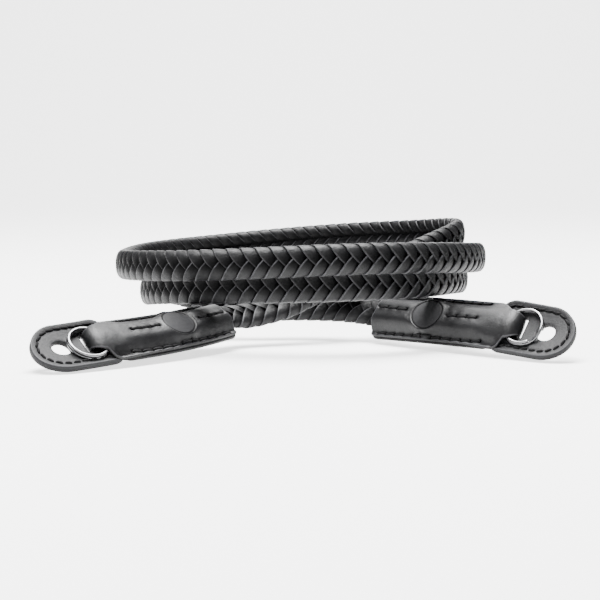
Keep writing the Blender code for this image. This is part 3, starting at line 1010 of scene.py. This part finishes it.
def strip_line(pose, rows, station, share, inner):
    """Points across the strip at a station, and for each its painted rim highlight, its painted shade where
    sunk and how far on the disc.
    """
    stretch, at, (lower, upper) = station
    half = np.where(share < 0, lower, upper)
    v = share * half
    u, height = strip_place(stretch, at, v, inner)
    u = u - MOUTH_REACH * smooth(-v / SLEEVE_HALF) * np.clip(1.0 - u / MOUTH_FADE, 0.0, 1.0)
    from_edge = half - np.abs(v)
    if stretch == "face":
        from_edge = np.minimum(from_edge, at)
    reach = np.clip(EDGE_ROUND - from_edge, 0.0, EDGE_ROUND)
    turn = EDGE_ROUND - np.sqrt(EDGE_ROUND**2 - reach**2)
    depth = pressed(u, v, rows) if stretch == "face" and not inner else np.zeros_like(v)
    outwards = (-1.0 if stretch == "back" else 1.0) * (-1.0 if inner else 1.0)
    rim = np.clip(1.0 - np.abs(from_edge - RIM_LINE[0]) / RIM_LINE[1], 0.0, 1.0) * (1 - inner)
    # Painted shade: deeper where pressed in, and on the inner faces
    sunk_shade = np.clip(depth / SUNK_FULL, 0.0, 1.0) + inner * WALL_SHADE
    disc = smooth((DISC_RADIUS - np.hypot(u - DISC_AT, v)) / DISC_FADE) * (stretch == "face")
    return lay(pose, u, v, height - outwards * turn - depth), rim, sunk_shade, disc


def make_tab(side, pose):
    """The folded strip: an outer and an inner face, joined all round."""
    stations = strip_stations()
    edge = np.array(EDGE_SHARES)
    share = np.r_[-edge[::-1], np.linspace(-MIDDLE_SHARE, MIDDLE_SHARE, MIDDLE_COLUMNS), edge]
    rows = stitch_rows(side)
    lines = [strip_line(pose, rows, station, share, inner) for inner in (0, 1) for station in stations]
    points, *numbers = (np.concatenate(parts) for parts in zip(*lines))
    count, width = len(stations), len(share)
    outer_faces = grid_faces(count, width)
    inner_faces = count * width + outer_faces[:, ::-1]
    faces = np.vstack([outer_faces, inner_faces, wall_faces(count, width)])
    piece = new_piece(f"{side}_sleeve", points, faces, [SLEEVE])
    for name, values in zip(("rim", "sunk_shade", "disc"), numbers):
        give_numbers(piece, name, values)
    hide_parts(f"{side}_tab")


# Stitches


def tube(path, radius):
    """Points round a path of places, with the faces that close them."""
    ahead = unit(np.gradient(path, axis=0))
    aside = unit(np.cross(ahead, THREAD_ASIDE))
    upright = np.cross(aside, ahead)
    turn = np.arange(THREAD_SIDES) * 2 * math.pi / THREAD_SIDES
    ring = np.cos(turn)[None, :, None] * aside[:, None] + np.sin(turn)[None, :, None] * upright[:, None]
    points = path[:, None] + radius[:, None, None] * ring
    return points.reshape(-1, 3), tube_faces(len(path), THREAD_SIDES)


def stitch_tubes(pose, first, last, height):
    """A raised thread from each first spot to each last spot, which dips into the leather at both ends."""
    share, rise, thickness = (column(THREAD_ROWS, i) for i in range(3))
    found = []
    for a, b in zip(first, last):
        spots = a + (b - a) * share[:, None]
        n = height(spots[:, 0], spots[:, 1]) + rise
        found.append(tube(lay(pose, spots[:, 0], spots[:, 1], n), THREAD_RADIUS * thickness))
    return found


def join_tubes(found):
    """Points and faces of all the tubes as one mesh."""
    points, faces, start = [], [], 0
    for part_points, part_faces in found:
        points.append(part_points)
        faces += [tuple(start + k for k in face) for face in part_faces]
        start += len(part_points)
    return np.vstack(points), faces


def flap_stitches():
    """Ends of the slanted stitches that run round the flap, from its root round the end and back."""
    ends = []
    for slant in (-FLAP_SLANT, FLAP_SLANT):
        path = flap_outline(FLAP_STITCH_INSET + slant, FLAP_STITCH_STEPS)
        path = path[path[:, 0] > FLAP_ROOT + FLAP_STITCH_START]
        # The path starts after its longest step, which is the gap left at the root
        start = np.argmax(np.linalg.norm(np.diff(path, axis=0), axis=1))
        path = np.roll(path, -(start + 1), axis=0) if start < len(path) - 2 else path
        run = run_along(path)
        edges = np.linspace(0.0, run[-1], round(run[-1] / FLAP_PITCH) + 1)
        at = edges[:-1] + FLAP_GAP if slant < 0 else edges[1:] - FLAP_GAP
        ends.append(turned(read(at, run, path)))
    count = min(len(end) for end in ends)
    return ends[0][:count], ends[1][:count]


def make_stitches(side, pose):
    """All the stitches of a tab and its flap as one piece."""
    found = []
    for row in stitch_rows(side):
        found += stitch_tubes(pose, *stitch_spots(row), top_height)
    found += stitch_tubes(pose, *flap_stitches(), lambda u, v: np.full_like(u, FLAP_STITCH_RISE))
    new_piece(f"{side}_stitches", *join_tubes(found), [THREAD])


# Flaps


def arc(centre, radius, start, end, steps):
    """Points of an arc between two angles in degrees."""
    turn = np.radians(np.linspace(start, end, steps + 1))
    return np.stack([centre[0] + radius * np.cos(turn), centre[1] + radius * np.sin(turn)], -1)


def run_between(first, last, pieces):
    """Points that part a straight run into pieces, without its ends."""
    share = np.linspace(0.0, 1.0, pieces + 1)[1:-1, None]
    return first + (last - first) * share


def turned(points):
    """The flap's flat points, turned a little round a spot near its root as the photograph has them."""
    s, c = math.sin(FLAP_TURN), math.cos(FLAP_TURN)
    return (points - [FLAP_TURN_AT, 0.0]) @ np.array([[c, s], [-s, c]]) + [FLAP_TURN_AT, 0.0]


def flap_outline(inset, steps):
    """The flap's rounded outline, set in from its edge."""
    wide = FLAP_HALF + FLAP_WIDER
    tip = arc((HOLE_AT, 0.0), wide - inset, -90, 90, steps)
    corner = max(ROOT_CORNER, inset + LEAST_CORNER)
    aside = wide - corner
    upper = arc((FLAP_ROOT + corner, aside), corner - inset, 90, 180, steps // 4)
    lower = arc((FLAP_ROOT + corner, -aside), corner - inset, 180, 270, steps // 4)
    upper_side = run_between(tip[-1], upper[0], SIDE_PIECES)
    root = run_between(upper[-1], lower[0], ROOT_PIECES)
    lower_side = run_between(lower[-1], tip[0], SIDE_PIECES)
    return np.vstack([tip, upper_side, upper, root, lower, lower_side])


def slit_outline(outset):
    """The slit's rounded outline, set out from its edge."""
    near, far = SLIT[0] - outset, SLIT[1] + outset
    wide = SLIT_HALF + outset
    corner = SLIT_CORNER + outset
    corners = (
        # u, v, where its turn starts in degrees
        (far - corner, corner - wide, -90),
        (far - corner, wide - corner, 0),
        (near + corner, wide - corner, 90),
        (near + corner, corner - wide, 180),
    )
    return np.vstack([arc((u, v), corner, start, start + 90, SLIT_STEPS) for u, v, start in corners])


def hole_outline(outset):
    """The hole's outline, set out from its edge."""
    return arc((HOLE_AT, 0.0), HOLE_RADIUS + outset, 0, 360, HOLE_STEPS)[:-1]


def inside(points, outline):
    """Whether each point lies inside a closed outline."""
    within = np.zeros(len(points), bool)
    for (x0, y0), (x1, y1) in zip(outline, np.roll(outline, -1, axis=0)):
        if y0 == y1:
            continue
        crosses = (y0 > points[:, 1]) != (y1 > points[:, 1])
        reach = x0 + (points[:, 1] - y0) * (x1 - x0) / (y1 - y0)
        within ^= crosses & (points[:, 0] < reach)
    return within


def flap_loops():
    """Closed loops of the flap's face with the height and painted rim highlight of each; the first of each kind
    is its edge.
    """
    outline = [(flap_outline(inset, TIP_STEPS), height, rim) for inset, height, rim in OUTLINE_LOOPS]
    hole = [(hole_outline(outset), height, rim) for outset, height, rim in OPENING_LOOPS]
    slit = [(slit_outline(outset), height, rim) for outset, height, rim in OPENING_LOOPS]
    return outline, hole, slit


def on_flap(points, kinds):
    """Whether each point lies on the flap and outside its hole and its slit."""
    outer, hole, slit = (kind[0][0] for kind in kinds)
    return inside(points, outer) & ~inside(points, hole) & ~inside(points, slit)


def flap_pattern():
    """Flat points of the flap's face, their heights and painted rim highlights, its triangles and its three
    edge loops.
    """
    kinds = flap_loops()
    points, heights, rims, edges, rings = [], [], [], [], []
    start = 0
    for kind in kinds:
        for index, (loop, height, rim) in enumerate(kind):
            ring = list(range(start, start + len(loop)))
            edges += list(zip(ring, ring[1:] + ring[:1]))
            if index == 0:
                rings.append(ring)
            points.append(loop)
            heights += [height] * len(loop)
            rims += [rim] * len(loop)
            start += len(loop)
    along_u = np.arange(FLAP_ROOT, TAB_LENGTH, FLAP_GRID)
    along_v = np.arange(-GRID_HALF, FLAP_HALF + FLAP_WIDER, FLAP_GRID)
    grid = np.stack(np.meshgrid(along_u, along_v), -1).reshape(-1, 2)
    clearance = np.linalg.norm(grid[:, None] - np.vstack(points)[None], axis=2).min(axis=1)
    grid = grid[on_flap(grid, kinds) & (clearance > GRID_CLEARANCE)]
    points = np.vstack([*points, grid])
    heights += [0.0] * len(grid)
    rims += [0.0] * len(grid)
    found = delaunay_2d_cdt([Vector(point) for point in points], edges, [], 1, MERGE_WITHIN)
    flat = np.array([vertex[:] for vertex in found[0]])
    triangles = np.array([face[:] for face in found[2]])
    # The heights and rims follow the points, so none may be merged or added
    assert len(flat) == len(points)
    keep = on_flap(flat[triangles].mean(axis=1), kinds)
    return turned(flat), np.array(heights), np.array(rims), triangles[keep].tolist(), rings


def make_flap(side, pose, layer, pattern):
    """One layer of the flap; only the face that shows has the pressed heights."""
    flat, heights, rims, triangles, rings = pattern
    low, high = FLAP_FACES[layer]
    level = np.zeros(len(flat))
    face = high + (heights if layer == "top" else level)
    under = low - (heights if layer == "back" else level)
    points = np.vstack([lay(pose, flat[:, 0], flat[:, 1], n) for n in (face, under)])
    count = len(flat)
    faces = [tuple(triangle) for triangle in triangles]
    faces += [tuple(count + k for k in triangle[::-1]) for triangle in triangles]
    for index, ring in enumerate(rings):
        for a, b in zip(ring, ring[1:] + ring[:1]):
            faces.append((b, a, count + a, count + b) if index == 0 else (a, b, count + b, count + a))
    piece = new_piece(f"{side}_flap_{layer}_leather", points, faces, [FLAP], SHARP_EDGE)
    give_numbers(piece, "rim", np.r_[rims, rims])
    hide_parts(f"{side}_flap_{layer}")


# Split rings


def make_ring(side, pose):
    """A wire of two turns that climbs from one to the other at the crossing, thinner at both ends."""
    bight = FOLD_CENTRE + (FOLD_TOP - FOLD_BOTTOM) / 2 - LEATHER
    at = bight - pose["ring_slack"] - RING_WIRE / 2 + RING_RADIUS
    ahead, flat, upright = tab_frame(pose, at)
    _, _, tilt = axis_angles(pose, at)
    across = math.cos(tilt) * flat + math.sin(tilt) * upright
    out = -math.sin(tilt) * flat + math.cos(tilt) * upright
    centre = lay(pose, at, 0.0, RING_LIFT + RING_WIRE / 2)[0] + pose["ring_beside"] * across
    turns = np.linspace(RING_CROSSING, 4 * math.pi - RING_CROSSING, RING_STATIONS)
    level = (RING_WIRE + TURN_GAP) * smooth((turns - 2 * math.pi + RING_CROSSING) / (2 * RING_CROSSING))
    placed = turns + math.radians(pose["crossing"])
    spoke = np.cos(placed)[:, None] * ahead + np.sin(placed)[:, None] * across
    path = centre + RING_RADIUS * spoke + level[:, None] * out
    angles = np.linspace(0.0, 2 * math.pi, RING_SIDES + 1)[:-1]
    wide, tall = oval(angles, RING_WIRE / 2, RING_WIRE / 2, RING_POWER).T
    from_end = np.minimum(turns - turns[0], turns[-1] - turns)
    thin = 1.0 - RING_END_THIN * np.clip(1.0 - from_end / RING_END_SPAN, 0.0, 1.0)
    round_wire = wide[None, :, None] * spoke[:, None] + tall[None, :, None] * out
    points = path[:, None] + thin[:, None, None] * round_wire
    faces = tube_faces(RING_STATIONS, RING_SIDES)
    piece = new_piece(f"{side}_split_ring", points.reshape(-1, 3), faces, [STEEL], SHARP_EDGE)
    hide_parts(f"{side}_ring")


make_braid()
face_pattern = flap_pattern()
for side_name, side_pose in POSES.items():
    make_tab(side_name, side_pose)
    for flap_layer in FLAP_FACES:
        make_flap(side_name, side_pose, flap_layer, face_pattern)
    make_ring(side_name, side_pose)
    make_stitches(side_name, side_pose)

# Floor and lights


def sheet_section():
    """The floor runs back and turns up in one soft bend: y, z of each line across it."""
    turn = np.linspace(-math.pi / 2, 0.0, BEND_LINES)
    bend = np.stack([FLOOR_BACK + FLOOR_BEND * np.cos(turn), FLOOR_BEND + FLOOR_BEND * np.sin(turn)], -1)
    return np.vstack([[-FLOOR_FRONT, 0.0], bend, [FLOOR_BACK + FLOOR_BEND, FLOOR_TOP]])


sheet = sheet_section()
floor_points = [(x, y, z - FLOOR_BELOW) for y, z in sheet for x in (-FLOOR_HALF, FLOOR_HALF)]
floor_mesh = bpy.data.meshes.new("floor")
floor_mesh.from_pydata(floor_points, [], [tuple(face) for face in grid_faces(len(sheet), 2).tolist()])
floor_mesh.shade_smooth()
floor_mesh.materials.append(pale_floor())
floor = bpy.data.objects.new("floor", floor_mesh)
bpy.context.scene.collection.objects.link(floor)

world = bpy.data.worlds.new("studio")
bpy.context.scene.world = world
world.use_nodes = True
world.node_tree.nodes["Background"].inputs["Color"].default_value = (*WHITE, 1.0)
world.node_tree.nodes["Background"].inputs["Strength"].default_value = WORLD_GLOW

for name, place, aim, width, height, power in LIGHTS:
    lamp = bpy.data.lights.new(name, "AREA")
    lamp.shape = "RECTANGLE"
    lamp.size, lamp.size_y, lamp.energy = width, height, power
    holder = bpy.data.objects.new(name, lamp)
    holder.location = place
    holder.rotation_euler = (Vector(aim) - Vector(place)).to_track_quat("-Z", "Y").to_euler()
    bpy.context.scene.collection.objects.link(holder)
